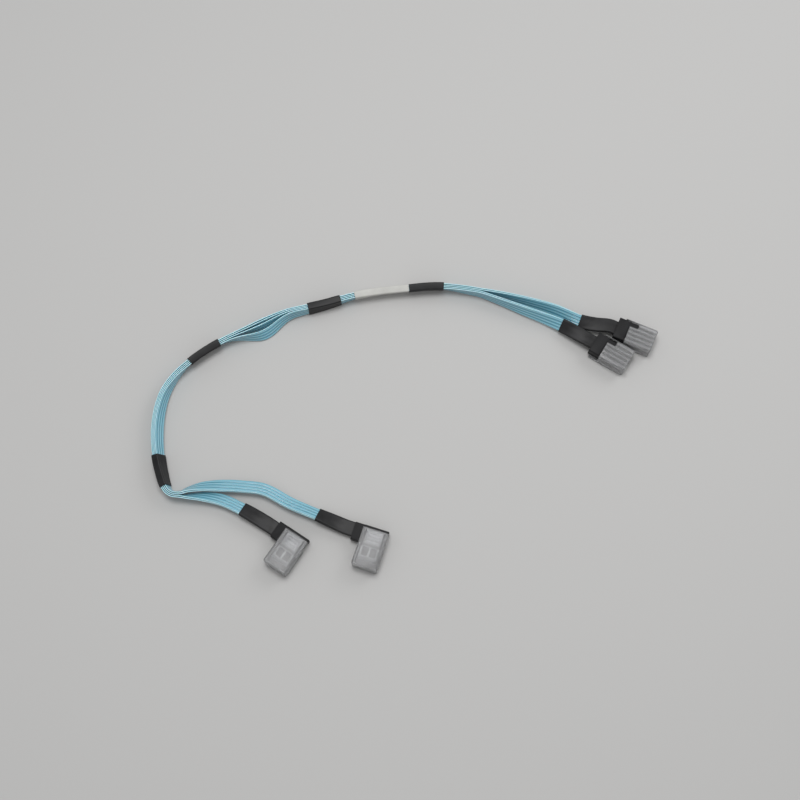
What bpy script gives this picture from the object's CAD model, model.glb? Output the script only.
"""Looks of a mini SAS cable loom: flat ribbons, wraps, sleeves and capped plugs on a pale floor.

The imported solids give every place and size. The ribbons, wraps and sleeves are made again here with
their ridges, rounded walls and creases, and the plugs' pieces are softened copies of the solids.
Routes and sizes are in millimetres, and meshes are in metres.
"""

import logging
import math
from dataclasses import dataclass, field
from enum import Enum

import bpy
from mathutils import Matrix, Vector


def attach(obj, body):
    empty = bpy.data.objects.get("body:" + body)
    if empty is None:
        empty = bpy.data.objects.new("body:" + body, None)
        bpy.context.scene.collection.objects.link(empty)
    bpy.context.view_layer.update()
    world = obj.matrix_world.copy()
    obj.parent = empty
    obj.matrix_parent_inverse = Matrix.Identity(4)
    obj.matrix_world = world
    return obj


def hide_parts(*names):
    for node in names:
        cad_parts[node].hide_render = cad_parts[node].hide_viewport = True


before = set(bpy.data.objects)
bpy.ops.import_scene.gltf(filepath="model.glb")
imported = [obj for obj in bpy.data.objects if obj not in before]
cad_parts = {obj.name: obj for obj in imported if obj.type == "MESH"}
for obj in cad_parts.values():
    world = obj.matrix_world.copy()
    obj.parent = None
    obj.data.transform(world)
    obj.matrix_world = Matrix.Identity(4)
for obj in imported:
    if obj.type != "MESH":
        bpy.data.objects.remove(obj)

log = logging.getLogger("loom")

MM = 0.001
Row = tuple[float, float, float, float]
Colour = tuple[float, float, float]
Source = bpy.types.NodeSocket | float


class Slot(Enum):
    """The material slots of the part."""

    RIBBON = "ribbon"
    SLEEVE = "sleeve"
    LABEL = "label"
    HOUSING = "housing"
    CARD = "card"
    LATCH = "latch"
    CAP = "cap"


# Route of the shared bundle: x, y in mm and the roll of the ribbons' width in degrees
BUNDLE_STATIONS = [
    (55.3, 108.5, 88),
    (42.7, 110.9, 82),
    (28.2, 113.0, 72),
    (14.1, 112.8, 71),
    (0.3, 111.4, 70),
    (-21.7, 108.9, 71),
    (-42.8, 104.9, 76),
    (-53.5, 101.6, 82),
    (-65.9, 97.6, 87),
    (-79.3, 93.9, 93),
    (-94.6, 89.7, 99),
    (-110.9, 83.0, 101),
    (-128.7, 75.0, 85),
    (-147.9, 65.5, 71),
    (-159.5, 58.0, 69),
    (-170.4, 49.2, 71),
    (-180.1, 38.2, 88),
    (-187.6, 24.0, 106),
    (-190.6, 11.7, 115),
    (-191.7, -0.4, 121),
    (-191.3, -13.6, 122),
    (-189.6, -25.9, 118),
    (-186.7, -38.2, 111),
    (-182.6, -50.4, 104),
    (-180.2, -53.9, 102),
    (-176.6, -55.8, 104),
    (-171.7, -56.0, 110),
]

# Each wrap's first and last station on the bundle
WRAP_SPANS = {
    "wrap_1": (2, 4),
    "label_wrap": (4, 6),
    "wrap_2": (7, 9),
    "wrap_3": (13, 15),
    "wrap_4": (21, 23),
}

# Branches between the bundle and each plug's sleeve: x, y, z in mm and the roll in degrees
BRANCHES = {
    "straight_a": [
        (147.0, 80.3, 6.9, 170),
        (135.4, 83.0, 6.8, 154),
        (118.3, 91.6, 6.5, 130),
        (104.5, 96.9, 6.3, 115),
        (77.0, 104.9, 6.1, 98),
    ],
    "straight_b": [
        (120.8, 79.6, 6.5, 145),
        (107.2, 85.9, 6.3, 124),
        (91.0, 92.6, 6.2, 110),
        (73.7, 100.0, 6.1, 97),
    ],
    "side_exit_a": [
        (-165.0, -57.3, 5.8, 122),
        (-155.0, -57.6, 5.6, 140),
        (-140.4, -60.2, 5.4, 158),
        (-124.4, -67.4, 5.2, 158),
    ],
    "side_exit_b": [
        (-165.0, -52.2, 6.2, 122),
        (-155.5, -50.2, 6.5, 140),
        (-140.3, -49.6, 6.6, 160),
        (-123.8, -50.4, 6.6, 164),
        (-108.5, -52.6, 6.4, 163),
        (-88.7, -62.9, 5.8, 157),
        (-66.6, -72.2, 5.3, 152),
        (-56.6, -76.6, 5.0, 167),
    ],
}
PLUG_ROLL = 180.0


@dataclass(frozen=True)
class PlugPose:
    """Where a plug lies: the middle of its housing's back, in mm, and the way its nose points."""

    name: str
    side_exit: bool
    x: float
    y: float
    heading: float

    def directions(self) -> tuple[Vector, Vector]:
        """Finds the plug's axes.

        Returns:
            The across direction and the mating direction.
        """
        turn = math.radians(self.heading)
        mating = Vector((math.cos(turn), math.sin(turn), 0.0))
        latch_side = Vector((0.0, 0.0, 1.0 if self.side_exit else -1.0))
        return mating.cross(latch_side), mating

    def point(self, across_mm: float, along_mm: float, z_mm: float) -> Vector:
        """Places a point of the plug.

        Args:
            across_mm: distance across the plug.
            along_mm: distance from the housing's back towards the nose.
            z_mm: height above the surface.

        Returns:
            The point in millimetres of the loom's frame.
        """
        across, mating = self.directions()
        return Vector((self.x, self.y, z_mm)) + across * across_mm + mating * along_mm


PLUGS = {
    pose.name: pose
    for pose in (
        PlugPose("straight_a", False, 162.6, 77.1, -24.0),
        PlugPose("straight_b", False, 144.5, 65.1, -32.0),
        PlugPose("side_exit_a", True, -82.7, -87.0, -124.0),
        PlugPose("side_exit_b", True, -23.7, -82.4, -108.0),
    )
}


@dataclass(frozen=True)
class CableSizes:
    """Sizes of the ribbons and of what is wrapped round them, in mm."""

    ribbon_width: float = 9.8
    ribbon_thickness: float = 0.9
    ribbon_gap: float = 0.3
    wrap_clearance: float = 0.3
    wrap_wall: float = 0.45
    label_wall: float = 0.3
    sleeve_clearance: float = 0.25
    sleeve_wall: float = 0.45
    sleeve_length: float = 28.5
    sleeve_tuck: float = 0.8
    seat_gap: float = 0.3
    slack_start: float = 9.0
    slack_end: float = 13.0
    slack_skew: float = 1.3
    slack_sharpness: int = 3
    slack_rest: float = 0.4
    slack_bow: tuple[float, ...] = (0.0, 0.5, 2.2, 7.0)
    slack_lean: tuple[float, ...] = (0.0, 2.0, 8.0, 24.0)
    straight_height: float = 6.95
    straight_lead: float = 5.0
    side_exit_height: float = 4.8
    side_exit_lead: float = 5.0
    card_rear: float = 4.0
    card_half_width: float = 7.5
    collar_reach: float = 17.0
    collar_cable_y: float = 5.6

    @property
    def pitch(self) -> float:
        """Distance between the middles of two stacked ribbons."""
        return self.ribbon_thickness + self.ribbon_gap

    @property
    def pair_thickness(self) -> float:
        """Thickness of one cable's two ribbons."""
        return 2 * self.ribbon_thickness + self.ribbon_gap

    @property
    def bundle_thickness(self) -> float:
        """Thickness of all four ribbons."""
        return 4 * self.ribbon_thickness + 3 * self.ribbon_gap


SIZES = CableSizes()


@dataclass
class Station:
    """A point of a cable in mm, with the axes of its section."""

    point: Vector
    tangent: Vector
    roll: float
    width: Vector = field(init=False)
    normal: Vector = field(init=False)

    def __post_init__(self) -> None:
        """Finds the width and stack directions from the tangent and roll."""
        turn = math.radians(self.roll)
        level = Vector((0.0, 0.0, 1.0)).cross(self.tangent).normalized()
        rise = self.tangent.cross(level).normalized()
        self.width = level * math.cos(turn) + rise * math.sin(turn)
        self.normal = self.tangent.cross(self.width).normalized()

    def section_point(self, across_mm: float, up_mm: float) -> Vector:
        """Places a point of the section.

        Args:
            across_mm: distance along the ribbons' width.
            up_mm: distance through the stack.

        Returns:
            The point in metres.
        """
        return (self.point + self.width * across_mm + self.normal * up_mm) * MM


def cubic(a: float, b: float, slope_a: float, slope_b: float, t: float) -> float:
    """Eases from one value to another.

    Args:
        a: the value at the start.
        b: the value at the end.
        slope_a: the slope at the start.
        slope_b: the slope at the end.
        t: how far along it is, from 0 to 1.

    Returns:
        The value there.
    """
    c2 = -3 * a + 3 * b - 2 * slope_a - slope_b
    c3 = 2 * a - 2 * b + slope_a + slope_b
    return a + slope_a * t + c2 * t * t + c3 * t**3


def mirrored(end: Row, inner: Row) -> Row:
    """Carries a route on past its end.

    Args:
        end: the last station.
        inner: the station before it.

    Returns:
        A station as far beyond the end as the inner one is before it.
    """
    return tuple(2 * p - q for p, q in zip(end, inner))


class Route:
    """A smooth line through stations. Places along it are station numbers, whole or in between."""

    samples = 40
    tangent_reach = 0.0001
    shortest_step = 1e-8

    def __init__(self, rows: list[Row]) -> None:
        """Keeps the stations and measures the line.

        Args:
            rows: x, y, z in mm and the roll in degrees, one row a station.
        """
        self.rows = rows
        self.last = len(rows) - 1
        self.lengths = self._measure()

    def _four(self, place: float) -> tuple[list[Row], float]:
        """Finds the stations that shape the line at a place.

        Args:
            place: the place along the line.

        Returns:
            The four stations round it, and how far along the middle two it is.
        """
        index = min(int(math.floor(place)), self.last - 1)
        at = self.rows
        before = at[index - 1] if index > 0 else mirrored(at[0], at[1])
        after = at[index + 2] if index + 2 <= self.last else mirrored(at[-1], at[-2])
        return [before, at[index], at[index + 1], after], place - index

    def point(self, place: float) -> Vector:
        """Finds the point at a place, on a centripetal spline.

        Args:
            place: the place along the line.

        Returns:
            The point in mm.
        """
        rows, t = self._four(place)
        p = [Vector(row[:3]) for row in rows]
        d0, d1, d2 = (max((b - a).length, self.shortest_step) ** 0.5 for a, b in zip(p, p[1:]))
        out = []
        for x0, x1, x2, x3 in zip(*p):
            start = ((x1 - x0) / d0 - (x2 - x0) / (d0 + d1) + (x2 - x1) / d1) * d1
            end = ((x2 - x1) / d1 - (x3 - x1) / (d1 + d2) + (x3 - x2) / d2) * d1
            out.append(cubic(x1, x2, start, end, t))
        return Vector(out)

    def roll(self, place: float) -> float:
        """Finds the roll at a place.

        Args:
            place: the place along the line.

        Returns:
            The roll in degrees.
        """
        rows, t = self._four(place)
        r0, r1, r2, r3 = (row[3] for row in rows)
        return cubic(r1, r2, 0.5 * (r2 - r0), 0.5 * (r3 - r1), t)

    def tangent(self, place: float) -> Vector:
        """Finds the direction at a place.

        Args:
            place: the place along the line.

        Returns:
            The direction, of length one.
        """
        step = self.tangent_reach * self.last
        ahead, behind = min(place + step, self.last), max(place - step, 0.0)
        return (self.point(ahead) - self.point(behind)).normalized()

    def station(self, place: float) -> Station:
        """Finds the station at a place.

        Args:
            place: the place along the line.

        Returns:
            The station, with its axes.
        """
        return Station(self.point(place), self.tangent(place), self.roll(place))

    def _measure(self) -> list[float]:
        """Measures the line.

        Returns:
            The length in mm from the start to each of its samples.
        """
        points = [self.point(i / self.samples) for i in range(self.last * self.samples + 1)]
        lengths = [0.0]
        for a, b in zip(points, points[1:]):
            lengths.append(lengths[-1] + (b - a).length)
        return lengths

    def length_to(self, place: float) -> float:
        """Measures from the start to a place.

        Args:
            place: the place along the line.

        Returns:
            The length in mm.
        """
        return self.lengths[round(place * self.samples)]

    def place_at(self, length: float) -> float:
        """Finds the place at a length from the start.

        Args:
            length: the length in mm.

        Returns:
            The place.
        """
        for i, (low, high) in enumerate(zip(self.lengths, self.lengths[1:])):
            if high >= length:
                return (i + (length - low) / (high - low)) / self.samples
        return float(self.last)


def resting_height(roll: float) -> float:
    """Finds how high the bundle's middle is when its wrap touches the surface.

    Args:
        roll: the bundle's roll in degrees.

    Returns:
        The height in mm.
    """
    turn = math.radians(roll)
    edge = SIZES.wrap_clearance + SIZES.wrap_wall
    half_width = SIZES.ribbon_width / 2 + edge
    half_thickness = SIZES.bundle_thickness / 2 + edge
    return half_width * abs(math.sin(turn)) + half_thickness * abs(math.cos(turn))


BUNDLE = Route([(x, y, resting_height(roll), roll) for x, y, roll in BUNDLE_STATIONS])


class CableRoute(Route):
    """One cable's pair of ribbons, from its straight plug's card to its side-exit plug's card."""

    def __init__(self, straight: str, side_exit: str, side: int) -> None:
        """Joins the cable's two branches to its side of the bundle.

        Args:
            straight: the straight plug's name.
            side_exit: the side-exit plug's name.
            side: +1 outside the bundle's middle and -1 inside it.
        """
        self.side = side
        before = self._straight_end(PLUGS[straight]) + BRANCHES[straight]
        after = BRANCHES[side_exit] + self._side_end(PLUGS[side_exit])
        shared = []
        for index in range(BUNDLE.last + 1):
            at = BUNDLE.station(index)
            point = at.point + at.normal * side * SIZES.pitch
            shared.append((*point, at.roll))
        self.first_shared = len(before)
        super().__init__(before + shared + after)

    @staticmethod
    def _straight_end(plug: PlugPose) -> list[Row]:
        """Lists the stations inside and behind a straight plug.

        Args:
            plug: where the plug lies.

        Returns:
            The stations, from the card outwards.
        """
        spots = (SIZES.card_rear - SIZES.seat_gap, 0.0, -SIZES.straight_lead)
        return [(*plug.point(0.0, y, SIZES.straight_height), PLUG_ROLL) for y in spots]

    @staticmethod
    def _side_end(plug: PlugPose) -> list[Row]:
        """Lists the stations beside and inside a side-exit plug.

        Args:
            plug: where the plug lies.

        Returns:
            The stations, from outside to the card.
        """
        inner = SIZES.card_half_width + SIZES.seat_gap
        spots = (SIZES.collar_reach + SIZES.side_exit_lead, SIZES.collar_reach, inner)
        height = SIZES.side_exit_height
        return [(*plug.point(x, SIZES.collar_cable_y, height), PLUG_ROLL) for x in spots]

    def station(self, place: float) -> Station:
        """Finds the station at a place, which keeps to the cable's own side of the bundle.

        Args:
            place: the place along the cable.

        Returns:
            The station, with its axes.
        """
        shared = place - self.first_shared
        if shared < 0 or shared > BUNDLE.last:
            return super().station(place)
        at = BUNDLE.station(shared)
        at.point = at.point + at.normal * self.side * SIZES.pitch
        return at

    def slack(self, place: float) -> float:
        """Finds how far the loom bows out at a place.

        Args:
            place: the place along the cable.

        Returns:
            The share of the full bow, from 0 to 1.
        """
        span = SIZES.slack_end - SIZES.slack_start
        along = min(max((place - self.first_shared - SIZES.slack_start) / span, 0.0), 1.0)
        return math.sin(math.pi * along**SIZES.slack_skew) ** SIZES.slack_sharpness

    def ribbon_station(self, place: float, side: int, index: int) -> Station:
        """Finds one ribbon's station, which bows out and leans where the loom is slack.

        Args:
            place: the place along the cable.
            side: +1 for the outer ribbon of the pair and -1 for the inner.
            index: the ribbon's number in the bundle, from 0 outside.

        Returns:
            The ribbon's own station.
        """
        at = self.station(place)
        point = at.point + at.normal * side * SIZES.pitch / 2
        share = self.slack(place)
        roll = at.roll + share * SIZES.slack_lean[index]
        outward = Vector((at.normal.x, at.normal.y, 0.0)).normalized()
        point = point - outward * share * SIZES.slack_bow[index]
        turn = math.radians(roll)
        flat = SIZES.ribbon_thickness / 2 * abs(math.cos(turn))
        resting = SIZES.ribbon_width / 2 * math.sin(turn) + flat + SIZES.slack_rest
        point.z += (resting - point.z) * share
        return Station(point, at.tangent, roll)


def deselect_all() -> None:
    """Leaves object mode with nothing selected."""
    if bpy.context.object and bpy.context.object.mode != "OBJECT":
        bpy.ops.object.mode_set(mode="OBJECT")
    bpy.ops.object.select_all(action="DESELECT")


def make_active(piece: bpy.types.Object) -> None:
    """Selects one piece alone and makes it active.

    Args:
        piece: the piece.
    """
    deselect_all()
    piece.select_set(True)
    bpy.context.view_layer.objects.active = piece


def apply_modifiers(piece: bpy.types.Object) -> None:
    """Applies all of a piece's modifiers in order.

    Args:
        piece: the piece.
    """
    make_active(piece)
    for modifier in list(piece.modifiers):
        bpy.ops.object.modifier_apply(modifier=modifier.name)


def rolled_grid(
    name: str, sections: list[list[Vector]], lengths: list[float], filled: bool
) -> bpy.types.Object:
    """Rolls a flat grid into a tube through the given closed sections.

    Args:
        name: the piece's name.
        sections: one ring of points in metres for each row of the grid.
        lengths: how far along the piece each ring is, in metres, for its UV map.
        filled: whether the two ends are closed with faces.

    Returns:
        The new piece, with a UV map that runs once round it and along it in metres.
    """
    deselect_all()
    columns, rows = len(sections[0]), len(sections) - 1
    bpy.ops.mesh.primitive_grid_add(x_subdivisions=columns, y_subdivisions=rows, size=1.0)
    piece = bpy.context.object
    piece.name = piece.data.name = name
    mesh = piece.data
    spots = {}
    for vertex in mesh.vertices:
        column = round((vertex.co.x + 0.5) * columns)
        row = round((vertex.co.y + 0.5) * rows)
        spots[vertex.index] = (column, row)
    layer = mesh.uv_layers.active or mesh.uv_layers.new(name="UVMap")
    half = columns // 2
    for loop in mesh.loops:
        column, row = spots[loop.vertex_index]
        face, across = divmod(column, half)
        layer.data[loop.index].uv = (min(1.0, 0.5 * (face + across / (half - 1))), lengths[row])
    for vertex in mesh.vertices:
        column, row = spots[vertex.index]
        vertex.co = sections[row][column % columns]
    make_active(piece)
    bpy.ops.object.mode_set(mode="EDIT")
    bpy.ops.mesh.select_all(action="SELECT")
    bpy.ops.mesh.remove_doubles(threshold=1e-7)
    if filled:
        bpy.ops.mesh.select_all(action="DESELECT")
        bpy.ops.mesh.select_mode(type="EDGE")
        bpy.ops.mesh.select_non_manifold(extend=False, use_wire=False, use_multi_face=False, use_verts=False)
        bpy.ops.mesh.fill_holes(sides=0)
    bpy.ops.mesh.select_all(action="SELECT")
    bpy.ops.mesh.normals_make_consistent(inside=False)
    bpy.ops.object.mode_set(mode="OBJECT")
    return piece


@dataclass(frozen=True)
class Finish:
    """A moulded, drawn or stamped surface: its colour, gloss and fine grain."""

    name: str
    colour: Colour
    roughness: float
    metallic: float = 0.0
    specular: float = 0.5
    coat: float = 0.0
    coat_roughness: float = 0.2
    transmission: float = 0.0
    subsurface: float = 0.0
    subsurface_reach: float = 0.001
    ior: float = 1.45
    mottle: float = 0.12
    mottle_scale: float = 120.0
    grain: float = 0.3
    grain_scale: float = 2500.0
    grain_height: float = 0.00004
    gloss_spread: float = 0.08


FINISHES = {
    Slot.RIBBON: Finish("ribbon_film", (0.14, 0.38, 0.49), 0.22, coat=1.0, subsurface=0.1, mottle=0.16,
                        mottle_scale=60.0, grain=0.03, grain_scale=900.0),
    Slot.SLEEVE: Finish("sleeve_black", (0.013, 0.013, 0.014), 0.45, specular=0.3, mottle=0.4, grain=0.5,
                        gloss_spread=0.2),
    Slot.LABEL: Finish("label_white", (0.52, 0.52, 0.495), 0.5, mottle=0.08, grain=0.15),
    Slot.HOUSING: Finish("housing_black", (0.012, 0.012, 0.013), 0.5, specular=0.22, mottle=0.2),
    Slot.CARD: Finish("card_green", (0.02, 0.11, 0.04), 0.38, coat=0.3, grain=0.1),
    Slot.LATCH: Finish("latch_steel", (0.36, 0.365, 0.37), 0.42, metallic=1.0, mottle=0.06, grain=0.25),
    Slot.CAP: Finish("cap_frosted", (0.68, 0.685, 0.695), 0.22, specular=0.3, transmission=0.8, ior=1.3,
                     mottle=0.05, grain=0.0, gloss_spread=0.0),
}


@dataclass(frozen=True)
class CapRibs:
    """The lengthwise ribs of a straight plug's cap: how far apart they lie and how light they are."""

    pitch_mm: float = 3.7
    rib_tint: float = 1.24
    groove_tint: float = 0.88
    rib_side: float = 0.1
    groove_side: float = 0.42


@dataclass(frozen=True)
class FilmBands:
    """The ribbon film's colours, from the valley beside a ridge to its crest, and its light welded edges."""

    ridges: int = 4
    valley: tuple[float, Colour] = (0.0, (0.028, 0.12, 0.17))
    slopes: tuple[tuple[float, Colour], ...] = ((0.12, (0.09, 0.29, 0.39)), (0.34, (0.15, 0.4, 0.51)))
    crest: tuple[float, Colour] = (0.48, (0.36, 0.64, 0.72))
    strength: float = 0.8
    edge_colour: Colour = (0.42, 0.72, 0.8)
    edge_start: float = 0.018
    edge_full: float = 0.004


RIBS = CapRibs()
BANDS = FilmBands()


def solid_colour(colour: Colour) -> tuple[float, float, float, float]:
    """Adds full opacity to a colour.

    Args:
        colour: red, green and blue.

    Returns:
        The colour with its alpha.
    """
    return (*colour, 1.0)


def feed(tree: bpy.types.NodeTree, socket: bpy.types.NodeSocket, source: Source) -> None:
    """Links or sets an input.

    Args:
        tree: the node tree.
        socket: the input.
        source: the output that feeds it, or a number.
    """
    if isinstance(source, bpy.types.NodeSocket):
        tree.links.new(source, socket)
    else:
        socket.default_value = source


def reckoned(tree: bpy.types.NodeTree, operation: str, *values: Source) -> bpy.types.NodeSocket:
    """Adds a math node.

    Args:
        tree: the node tree.
        operation: what the node does.
        values: what goes into it, in order.

    Returns:
        Its result.
    """
    node = tree.nodes.new("ShaderNodeMath")
    node.operation = operation
    for socket, value in zip(node.inputs, values):
        feed(tree, socket, value)
    return node.outputs[0]


def ranged(
    tree: bpy.types.NodeTree,
    value: bpy.types.NodeSocket,
    given: tuple[float, float],
    wanted: tuple[Source, Source],
    smooth: bool = False,
) -> bpy.types.NodeSocket:
    """Adds a node that turns one range of values into another.

    Args:
        tree: the node tree.
        value: the value that comes in.
        given: the ends of its range.
        wanted: the ends of the new range.
        smooth: whether it eases in and out.

    Returns:
        The new value.
    """
    node = tree.nodes.new("ShaderNodeMapRange")
    if smooth:
        node.interpolation_type = "SMOOTHSTEP"
    feed(tree, node.inputs["Value"], value)
    for name, end in zip(("From Min", "From Max", "To Min", "To Max"), (*given, *wanted)):
        feed(tree, node.inputs[name], end)
    return node.outputs["Result"]


def tinted(
    tree: bpy.types.NodeTree, colour: bpy.types.NodeSocket, strength: bpy.types.NodeSocket
) -> bpy.types.NodeSocket:
    """Adds a node that lightens or darkens a colour.

    Args:
        tree: the node tree.
        colour: the colour.
        strength: what it is multiplied by.

    Returns:
        The new colour.
    """
    node = tree.nodes.new("ShaderNodeVectorMath")
    node.operation = "SCALE"
    tree.links.new(colour, node.inputs[0])
    tree.links.new(strength, node.inputs["Scale"])
    return node.outputs["Vector"]


@dataclass
class SurfaceGrain:
    """A node group shared by all finishes: mottled colour, uneven gloss and a fine moulded grain."""

    cloud_detail: float = 5.0
    cloud_range: tuple[float, float] = (0.3, 0.7)
    cloud_middle: float = 0.5
    grain_detail: float = 3.0
    tree: bpy.types.NodeTree = field(init=False)

    def __post_init__(self) -> None:
        """Builds the group once."""
        self.tree = bpy.data.node_groups.new("surface_grain", "ShaderNodeTree")
        self._sockets()
        tree = self.tree
        given = tree.nodes.new("NodeGroupInput")
        out = tree.nodes.new("NodeGroupOutput")
        place = tree.nodes.new("ShaderNodeTexCoord")
        cloud = self._noise(place, given.outputs["Mottle Scale"], self.cloud_detail)
        grain = self._noise(place, given.outputs["Grain Scale"], self.grain_detail)
        low = reckoned(tree, "SUBTRACT", 1.0, given.outputs["Mottle"])
        high = reckoned(tree, "ADD", 1.0, given.outputs["Mottle"])
        shade = ranged(tree, cloud, self.cloud_range, (low, high))
        gloss = reckoned(tree, "SUBTRACT", cloud, self.cloud_middle)
        swing = reckoned(tree, "MULTIPLY_ADD", gloss, given.outputs["Spread"], given.outputs["Roughness"])
        tree.links.new(tinted(tree, given.outputs["Color"], shade), out.inputs["Color"])
        tree.links.new(swing, out.inputs["Roughness"])
        tree.links.new(grain, out.inputs["Height"])

    def _sockets(self) -> None:
        """Gives the group its named inputs and outputs."""
        for name, way, kind in (
            ("Color", "INPUT", "Color"),
            ("Mottle", "INPUT", "Float"),
            ("Mottle Scale", "INPUT", "Float"),
            ("Roughness", "INPUT", "Float"),
            ("Spread", "INPUT", "Float"),
            ("Grain Scale", "INPUT", "Float"),
            ("Color", "OUTPUT", "Color"),
            ("Roughness", "OUTPUT", "Float"),
            ("Height", "OUTPUT", "Float"),
        ):
            self.tree.interface.new_socket(name=name, in_out=way, socket_type=f"NodeSocket{kind}")

    def _noise(
        self, place: bpy.types.Node, scale: bpy.types.NodeSocket, detail: float
    ) -> bpy.types.NodeSocket:
        """Adds a noise on the piece's own coordinates.

        Args:
            place: the coordinates' node.
            scale: how fine the noise is.
            detail: how many finer layers it has.

        Returns:
            The noise's value.
        """
        noise = self.tree.nodes.new("ShaderNodeTexNoise")
        noise.inputs["Detail"].default_value = detail
        self.tree.links.new(place.outputs["Object"], noise.inputs["Vector"])
        self.tree.links.new(scale, noise.inputs["Scale"])
        return noise.outputs["Fac"]


@dataclass
class Dressing:
    """A material that is being made: its shader and its share of the surface grain."""

    finish: Finish
    grain: SurfaceGrain
    material: bpy.types.Material = field(init=False)
    shader: bpy.types.Node = field(init=False)
    group: bpy.types.Node = field(init=False)

    def __post_init__(self) -> None:
        """Makes the material, with all but its base colour in place."""
        finish = self.finish
        self.material = bpy.data.materials.new(finish.name)
        self.material.use_nodes = True
        tree = self.tree
        tree.nodes.clear()
        self.shader = tree.nodes.new("ShaderNodeBsdfPrincipled")
        output = tree.nodes.new("ShaderNodeOutputMaterial")
        tree.links.new(self.shader.outputs["BSDF"], output.inputs["Surface"])
        for name, value in (
            ("Metallic", finish.metallic),
            ("Specular IOR Level", finish.specular),
            ("IOR", finish.ior),
            ("Coat Weight", finish.coat),
            ("Coat Roughness", finish.coat_roughness),
            ("Transmission Weight", finish.transmission),
            ("Subsurface Weight", finish.subsurface),
            ("Subsurface Scale", finish.subsurface_reach),
        ):
            self.shader.inputs[name].default_value = value
        self.group = tree.nodes.new("ShaderNodeGroup")
        self.group.node_tree = self.grain.tree
        for name, value in (
            ("Color", solid_colour(finish.colour)),
            ("Mottle", finish.mottle),
            ("Mottle Scale", finish.mottle_scale),
            ("Roughness", finish.roughness),
            ("Spread", finish.gloss_spread),
            ("Grain Scale", finish.grain_scale),
        ):
            self.group.inputs[name].default_value = value
        bump = tree.nodes.new("ShaderNodeBump")
        bump.inputs["Strength"].default_value = finish.grain
        bump.inputs["Distance"].default_value = finish.grain_height
        tree.links.new(self.group.outputs["Height"], bump.inputs["Height"])
        tree.links.new(bump.outputs["Normal"], self.shader.inputs["Normal"])
        tree.links.new(self.group.outputs["Roughness"], self.shader.inputs["Roughness"])

    @property
    def tree(self) -> bpy.types.NodeTree:
        """The material's nodes."""
        return self.material.node_tree

    def paint(self, colour: bpy.types.NodeSocket) -> bpy.types.Material:
        """Gives the material its colour.

        Args:
            colour: the output with the colour.

        Returns:
            The finished material.
        """
        self.tree.links.new(colour, self.shader.inputs["Base Color"])
        return self.material


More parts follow.
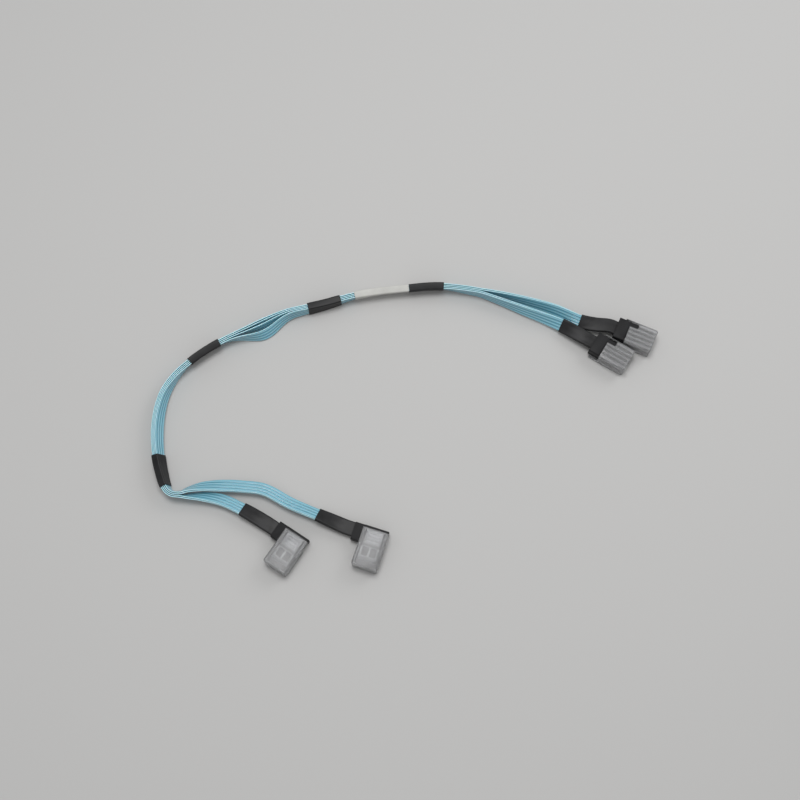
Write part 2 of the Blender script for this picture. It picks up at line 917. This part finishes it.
class MaterialShop:
    """Makes each finish's material once."""

    def __init__(self) -> None:
        """Builds the shared group and starts with no materials."""
        self.grain = SurfaceGrain()
        self.made: dict[Slot, bpy.types.Material] = {}

    def plain(self, slot: Slot) -> bpy.types.Material:
        """Gives the material of a moulded or stamped finish.

        Args:
            slot: the slot whose finish it is.

        Returns:
            Its material, made the first time that it is asked for.
        """
        if slot not in self.made:
            dressing = Dressing(FINISHES[slot], self.grain)
            self.made[slot] = dressing.paint(dressing.group.outputs["Color"])
        return self.made[slot]

    def ribbed_cap(self, pose: PlugPose) -> bpy.types.Material:
        """Makes the frosted cap of a straight plug, darker where its face is grooved lengthwise.

        Args:
            pose: where the plug lies, which gives the grooves' direction.

        Returns:
            Its material.
        """
        dressing = Dressing(FINISHES[Slot.CAP], self.grain)
        dressing.material.name = f"{dressing.finish.name}_{pose.name}"
        tree = dressing.tree
        across, _ = pose.directions()
        middle = pose.point(0.0, 0.0, 0.0) * MM
        pitch = RIBS.pitch_mm * MM
        place = tree.nodes.new("ShaderNodeTexCoord")
        along = tree.nodes.new("ShaderNodeVectorMath")
        along.operation = "DOT_PRODUCT"
        along.inputs[1].default_value = across
        tree.links.new(place.outputs["Object"], along.inputs[0])
        count = reckoned(tree, "MULTIPLY_ADD", along.outputs["Value"], 1.0 / pitch, -across.dot(middle) / pitch)
        wave = reckoned(tree, "PINGPONG", count, 0.5)
        tints = (RIBS.rib_tint, RIBS.groove_tint)
        shade = ranged(tree, wave, (RIBS.rib_side, RIBS.groove_side), tints, smooth=True)
        return dressing.paint(tinted(tree, dressing.group.outputs["Color"], shade))

    def ribbon(self) -> bpy.types.Material:
        """Gives the blue film over rows of conductors, which follows the ribbon's own UV map.

        Returns:
            Its material, made the first time that it is asked for.
        """
        if Slot.RIBBON in self.made:
            return self.made[Slot.RIBBON]
        dressing = Dressing(FINISHES[Slot.RIBBON], self.grain)
        tree = dressing.tree
        uv = tree.nodes.new("ShaderNodeUVMap")
        uv.uv_map = "UVMap"
        split = tree.nodes.new("ShaderNodeSeparateXYZ")
        tree.links.new(uv.outputs["UV"], split.inputs["Vector"])
        # The map runs once round the ribbon, so each face has half of it
        fold = reckoned(tree, "PINGPONG", split.outputs["X"], 0.5)
        rows = reckoned(tree, "MULTIPLY", fold, 2.0 * BANDS.ridges)
        wave = reckoned(tree, "PINGPONG", rows, 0.5)
        ramp = tree.nodes.new("ShaderNodeValToRGB")
        stops = ramp.color_ramp.elements
        for stop, (position, colour) in zip(stops, (BANDS.valley, BANDS.crest)):
            stop.position, stop.color = position, solid_colour(colour)
        for position, colour in BANDS.slopes:
            stops.new(position).color = solid_colour(colour)
        tree.links.new(wave, ramp.inputs["Fac"])
        banded = tree.nodes.new("ShaderNodeMix")
        banded.data_type = "RGBA"
        banded.inputs["Factor"].default_value = BANDS.strength
        tree.links.new(dressing.group.outputs["Color"], banded.inputs["A"])
        tree.links.new(ramp.outputs["Color"], banded.inputs["B"])
        # The welded edges are the lightest part of the film
        from_edge = reckoned(tree, "PINGPONG", fold, 0.25)
        edge = ranged(tree, from_edge, (BANDS.edge_start, BANDS.edge_full), (0.0, 1.0))
        edged = tree.nodes.new("ShaderNodeMix")
        edged.data_type = "RGBA"
        edged.inputs["B"].default_value = solid_colour(BANDS.edge_colour)
        tree.links.new(edge, edged.inputs["Factor"])
        tree.links.new(banded.outputs["Result"], edged.inputs["A"])
        self.made[Slot.RIBBON] = dressing.paint(edged.outputs["Result"])
        return self.made[Slot.RIBBON]


@dataclass(frozen=True)
class RibbonSection:
    """The section of one ribbon: a film drawn down between its ridges, each over a pair of conductors."""

    ridges: int = BANDS.ridges
    points_each: int = 12
    edge_mm: float = 0.1
    valley_mm: float = 0.22
    crest_mm: float = 0.46
    dip: float = 0.14
    dip_width: float = 0.12

    def ring(self, station: Station) -> list[Vector]:
        """Places the section at a station.

        Args:
            station: the station.

        Returns:
            The section's points in metres, once round.
        """
        span = SIZES.ribbon_width - 2 * self.edge_mm
        rise = self.crest_mm - self.valley_mm
        count = self.ridges * self.points_each
        top = []
        for i in range(count + 1):
            from_crest = (i / self.points_each) % 1.0 - 0.5
            arch = math.sqrt(max(0.0, 1.0 - (2 * from_crest) ** 2))
            lift = arch * (1 - self.dip * math.exp(-((from_crest / self.dip_width) ** 2)))
            top.append((-span / 2 + span * i / count, self.valley_mm + rise * lift))
        outline = [(across, -up) for across, up in reversed(top)] + top
        return [station.section_point(across, up) for across, up in outline]


@dataclass
class Ribbon:
    """One flat ribbon from card to card."""

    name: str
    cable: CableRoute
    side: int
    index: int
    shop: MaterialShop
    steps: int = 7

    def build(self) -> bpy.types.Object:
        """Returns:
            The ribbon.
        """
        count = self.cable.last * self.steps
        places = [self.cable.last * i / count for i in range(count + 1)]
        stations = [self.cable.ribbon_station(p, self.side, self.index) for p in places]
        lengths = [0.0]
        for a, b in zip(stations, stations[1:]):
            lengths.append(lengths[-1] + (b.point - a.point).length * MM)
        section = RibbonSection()
        piece = rolled_grid(self.name + "_film", [section.ring(s) for s in stations], lengths, True)
        piece.data.materials.append(self.shop.ribbon())
        make_active(piece)
        bpy.ops.object.shade_smooth()
        path = [tuple(s.point * MM) for s in stations]
        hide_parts(self.name)
        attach(piece, "loom")
        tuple(path[0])
        log.info("%s: %.0f mm long", self.name, lengths[-1] / MM)
        return piece


@dataclass(frozen=True)
class Creases:
    """How the skin of a shrunk tube is drawn in at its ends and between its corners."""

    lip_mm: float = 0.1
    lip_fall: float = 26.0
    corner_mm: float = 1.0
    corner_share: float = 0.6
    dent_mm: float = 0.07
    dent_rate: float = 5.1
    wave_mm: float = 0.035
    wave_along: float = 31.0
    wave_across: float = 1.3
    swell_along: float = 11.0

    def depth(self, along: float, across_mm: float, start: float, on_face: bool) -> float:
        """Finds how far the skin is drawn in at a spot.

        Args:
            along: how far along the tube it is, from 0 to 1.
            across_mm: how far across.
            start: the place where the tube starts, which makes each one's creases its own.
            on_face: whether it is between the corners.

        Returns:
            The depth in mm.
        """
        dent = self.dent_mm * (0.5 + 0.5 * math.cos(across_mm * self.dent_rate)) if on_face else 0.0
        ripple = math.sin(along * self.wave_along + across_mm * self.wave_across)
        wave = self.wave_mm * ripple * math.sin(along * self.swell_along + start)
        return max(0.0, dent + wave)


@dataclass
class ShrunkTube:
    """A thin tube shrunk round a flat stack: a wrap, the label or a plug's sleeve."""

    name: str
    route: Route
    start: float
    end: float
    stack_mm: float
    clearance_mm: float
    wall_mm: float
    slot: Slot
    shop: MaterialShop
    creases: Creases = Creases()
    rings: int = 36
    corner_points: int = 6
    face_points: int = 9
    edge_mm: float = 0.08
    edge_angle: float = 60.0
    smooth_angle: float = 40.0

    def _outline(self, half_width: float, half_height: float, radius: float) -> list[tuple[float, float]]:
        """Draws the plain section, with rounded corners and points along its two broad faces.

        Args:
            half_width: half the section's width in mm.
            half_height: half its height.
            radius: its corners' radius.

        Returns:
            Its points in mm, across and up.
        """
        x, z = half_width - radius, half_height - radius
        points = []
        for cx, cz, turn in ((x, -z, -90), (x, z, 0), (-x, z, 90), (-x, -z, 180)):
            for i in range(self.corner_points + 1):
                angle = math.radians(turn + 90 * i / self.corner_points)
                points.append((cx + radius * math.cos(angle), cz + radius * math.sin(angle)))
            if cx * cz > 0:
                face = math.copysign(half_height, cz)
                for i in range(1, self.face_points):
                    points.append((cx - 2 * cx * i / self.face_points, face))
        return points

    def _ring(self, station: Station, along: float) -> list[Vector]:
        """Places the outer section at a station.

        Args:
            station: the station.
            along: how far along the tube it is, from 0 to 1.

        Returns:
            The section's points in metres, once round.
        """
        skin = self.clearance_mm + self.wall_mm
        half_width = SIZES.ribbon_width / 2 + skin
        half_height = self.stack_mm / 2 + skin
        radius = min(self.creases.corner_mm, half_height * self.creases.corner_share)
        lip = self.creases.lip_mm * math.exp(-min(along, 1 - along) * self.creases.lip_fall)
        ring = []
        for x, z in self._outline(half_width, half_height, radius):
            on_face = abs(x) < half_width - radius
            drawn_in = lip + self.creases.depth(along, x, self.start, on_face)
            ring.append(station.section_point(x * (1 - lip / half_width), z * (1 - drawn_in / half_height)))
        return ring

    def build(self) -> bpy.types.Object:
        """Makes the tube with its wall and dresses it.

        Returns:
            The tube.
        """
        shares = [i / self.rings for i in range(self.rings + 1)]
        stations = [self.route.station(self.start + (self.end - self.start) * share) for share in shares]
        lengths = [0.0]
        for a, b in zip(stations, stations[1:]):
            lengths.append(lengths[-1] + (b.point - a.point).length * MM)
        sections = [self._ring(station, share) for station, share in zip(stations, shares)]
        piece = rolled_grid(self.name + "_tube", sections, lengths, False)
        wall = piece.modifiers.new("wall", "SOLIDIFY")
        wall.thickness = self.wall_mm * MM
        wall.offset = -1.0
        wall.use_even_offset = True
        edge = piece.modifiers.new("edge", "BEVEL")
        edge.width = self.edge_mm * MM
        edge.segments = 2
        edge.limit_method = "ANGLE"
        edge.angle_limit = math.radians(self.edge_angle)
        apply_modifiers(piece)
        bpy.ops.object.shade_smooth_by_angle(angle=math.radians(self.smooth_angle))
        piece.data.materials.append(self.shop.plain(self.slot))
        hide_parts(self.name)
        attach(piece, "loom")
        log.info("%s: %.1f mm long", self.name, lengths[-1] / MM)
        return piece


@dataclass
class Loom:
    """The two cables and all that is wrapped round them."""

    shop: MaterialShop
    cable_a: CableRoute = field(init=False)
    cable_b: CableRoute = field(init=False)

    def __post_init__(self) -> None:
        """Lays out the two cables' routes."""
        self.cable_a = CableRoute("straight_a", "side_exit_a", 1)
        self.cable_b = CableRoute("straight_b", "side_exit_b", -1)

    def build(self) -> None:
        """Makes the ribbons, the wraps with the label, and the sleeves."""
        pairs = ((self.cable_a, 1), (self.cable_a, -1), (self.cable_b, 1), (self.cable_b, -1))
        for index, (cable, side) in enumerate(pairs):
            Ribbon(f"ribbon_{index + 1}", cable, side, index, self.shop).build()
        for name, (first, last) in WRAP_SPANS.items():
            self._wrap(name, first, last)
        for name, cable in (("straight_a", self.cable_a), ("straight_b", self.cable_b),
                            ("side_exit_a", self.cable_a), ("side_exit_b", self.cable_b)):
            self._sleeve(PLUGS[name], cable)

    def _wrap(self, name: str, first: int, last: int) -> None:
        """Makes one wrap round all four ribbons.

        Args:
            name: the wrap's name.
            first: the station where it starts.
            last: the station where it ends.
        """
        label = name == "label_wrap"
        ShrunkTube(
            name,
            BUNDLE,
            BUNDLE.place_at(BUNDLE.length_to(first) + SIZES.seat_gap / 2),
            BUNDLE.place_at(BUNDLE.length_to(last) - SIZES.seat_gap / 2),
            SIZES.bundle_thickness,
            SIZES.wrap_clearance,
            SIZES.label_wall if label else SIZES.wrap_wall,
            Slot.LABEL if label else Slot.SLEEVE,
            self.shop,
        ).build()

    def _sleeve(self, plug: PlugPose, cable: CableRoute) -> None:
        """Makes the sleeve between a plug and its cable.

        Args:
            plug: where the plug lies.
            cable: the cable that goes into it.
        """
        reach = SIZES.collar_reach - SIZES.card_half_width if plug.side_exit else SIZES.card_rear
        inside = reach - SIZES.seat_gap
        near = inside - SIZES.sleeve_tuck
        far = inside + SIZES.seat_gap + SIZES.sleeve_length
        whole = cable.length_to(cable.last)
        start, end = (whole - far, whole - near) if plug.side_exit else (near, far)
        ShrunkTube(
            f"{plug.name}_sleeve",
            cable,
            cable.place_at(start),
            cable.place_at(end),
            SIZES.pair_thickness,
            SIZES.sleeve_clearance,
            SIZES.sleeve_wall,
            Slot.SLEEVE,
            self.shop,
        ).build()


@dataclass
class SoftenedCopy:
    """A copy of a rigid solid with its sharp edges softened."""

    node: str
    body: str
    slot: Slot
    material: bpy.types.Material
    edge_mm: float
    segments: int = 2
    weld_mm: float = 0.002
    flat_angle: float = 1.0
    sharp_angle: float = 35.0

    def build(self) -> bpy.types.Object:
        """Copies the solid, merges its facets, softens its edges and dresses it.

        Returns:
            The copy.
        """
        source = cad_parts[self.node]
        piece = source.copy()
        piece.data = source.data.copy()
        piece.name = piece.data.name = self.node + "_body"
        piece.parent = None
        bpy.context.scene.collection.objects.link(piece)
        make_active(piece)
        bpy.ops.object.mode_set(mode="EDIT")
        bpy.ops.mesh.select_all(action="SELECT")
        bpy.ops.mesh.remove_doubles(threshold=self.weld_mm * MM)
        bpy.ops.mesh.dissolve_limited(angle_limit=math.radians(self.flat_angle))
        bpy.ops.object.mode_set(mode="OBJECT")
        edge = piece.modifiers.new("edge", "BEVEL")
        edge.width = self.edge_mm * MM
        edge.segments = self.segments
        edge.limit_method = "ANGLE"
        edge.angle_limit = math.radians(self.sharp_angle)
        edge.use_clamp_overlap = True
        apply_modifiers(piece)
        bpy.ops.object.shade_smooth_by_angle(angle=math.radians(self.sharp_angle))
        piece.data.materials.clear()
        piece.data.materials.append(self.material)
        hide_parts(self.node)
        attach(piece, self.body)
        log.info("%s: edges softened by %.2f mm", self.node, self.edge_mm)
        return piece


@dataclass
class Plug:
    """A plug's shells, card, latch and dust cap, with how much their edges are softened in mm."""

    pose: PlugPose
    shop: MaterialShop
    shell_edge: float = 0.18
    card_edge: float = 0.04
    latch_edge: float = 0.06
    cap_edge: float = 0.25

    def build(self) -> None:
        """Makes the plug's five pieces."""
        name, shop = self.pose.name, self.shop
        housing = shop.plain(Slot.HOUSING)
        for shell in (f"{name}_latch_side_shell", f"{name}_back_shell"):
            SoftenedCopy(shell, "loom", Slot.HOUSING, housing, self.shell_edge).build()
        card = shop.plain(Slot.CARD)
        SoftenedCopy(f"{name}_paddle_card", "loom", Slot.CARD, card, self.card_edge, 1).build()
        steel = shop.plain(Slot.LATCH)
        SoftenedCopy(f"{name}_latch", f"{name}_latch", Slot.LATCH, steel, self.latch_edge, 1).build()
        frosted = shop.plain(Slot.CAP) if self.pose.side_exit else shop.ribbed_cap(self.pose)
        SoftenedCopy(f"{name}_dust_cap", f"{name}_dust_cap", Slot.CAP, frosted, self.cap_edge).build()


@dataclass(frozen=True)
class Lamp:
    """A soft square lamp aimed at the middle of the floor."""

    name: str
    spot: tuple[float, float, float]
    size: float
    power: float

    def build(self) -> None:
        """Makes the lamp."""
        deselect_all()
        bpy.ops.object.light_add(type="AREA", location=self.spot)
        lamp = bpy.context.object
        lamp.name = f"{self.name}_lamp"
        lamp.data.energy = self.power
        lamp.data.size = self.size
        lamp.rotation_euler = (-Vector(self.spot)).to_track_quat("-Z", "Y").to_euler()
        log.info("%s lamp", self.name)


@dataclass(frozen=True)
class Studio:
    """The floor, the lamps and the camera."""

    target_mm: tuple[float, float, float] = (-6.6, 20.2, 0.0)
    distance_mm: float = 900.0
    elevation: float = 72.0
    focal_px: float = 1161.0
    frame_px: float = 800.0
    sensor_mm: float = 36.0
    nearest: float = 0.01
    farthest: float = 20.0
    floor_size: float = 8.0
    floor_drop: float = 0.0002
    floor_colour: Colour = (0.5, 0.4975, 0.4925)
    floor_roughness: float = 0.8
    floor_specular: float = 0.2
    room_light: float = 0.5
    lamps: tuple[Lamp, ...] = (
        Lamp("side", (0.95, 0.7, 0.85), 0.7, 4.0),
        Lamp("top", (-0.08, 0.22, 1.45), 0.6, 10.5),
    )

    def camera(self) -> None:
        """Makes the camera at the photograph's angle."""
        deselect_all()
        up = math.radians(self.elevation)
        back = Vector((0.0, -math.cos(up), math.sin(up)))
        place = (Vector(self.target_mm) + back * self.distance_mm) * MM
        bpy.ops.object.camera_add(location=place)
        camera = bpy.context.object
        camera.name = "photo_camera"
        camera.rotation_euler = (-back).to_track_quat("-Z", "Y").to_euler()
        camera.data.sensor_width = self.sensor_mm
        camera.data.lens = self.sensor_mm * self.focal_px / self.frame_px
        camera.data.clip_start, camera.data.clip_end = self.nearest, self.farthest
        bpy.context.scene.camera = camera
        bpy.context.scene.view_settings.view_transform = "Standard"
        log.info("camera")

    def floor(self) -> None:
        """Makes the plain pale floor."""
        deselect_all()
        bpy.ops.mesh.primitive_plane_add(size=self.floor_size, location=(0.0, 0.0, -self.floor_drop))
        floor = bpy.context.object
        floor.name = "floor"
        material = bpy.data.materials.new("pale_floor")
        material.use_nodes = True
        shader = material.node_tree.nodes["Principled BSDF"]
        shader.inputs["Base Color"].default_value = solid_colour(self.floor_colour)
        shader.inputs["Roughness"].default_value = self.floor_roughness
        shader.inputs["Specular IOR Level"].default_value = self.floor_specular
        floor.data.materials.append(material)
        log.info("floor")

    def lights(self) -> None:
        """Makes an even white room and its lamps."""
        world = bpy.data.worlds.new("soft_room")
        bpy.context.scene.world = world
        world.use_nodes = True
        room = world.node_tree.nodes["Background"]
        room.inputs["Color"].default_value = (1.0, 1.0, 1.0, 1.0)
        room.inputs["Strength"].default_value = self.room_light
        for lamp in self.lamps:
            lamp.build()


def main() -> None:
    """Builds the scene in order."""
    logging.basicConfig(level=logging.INFO, format="%(message)s")
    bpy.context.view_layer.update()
    studio = Studio()
    studio.camera()
    shop = MaterialShop()
    Loom(shop).build()
    for pose in PLUGS.values():
        Plug(pose, shop).build()
    studio.floor()
    studio.lights()


if __name__ == "__main__":
    main()
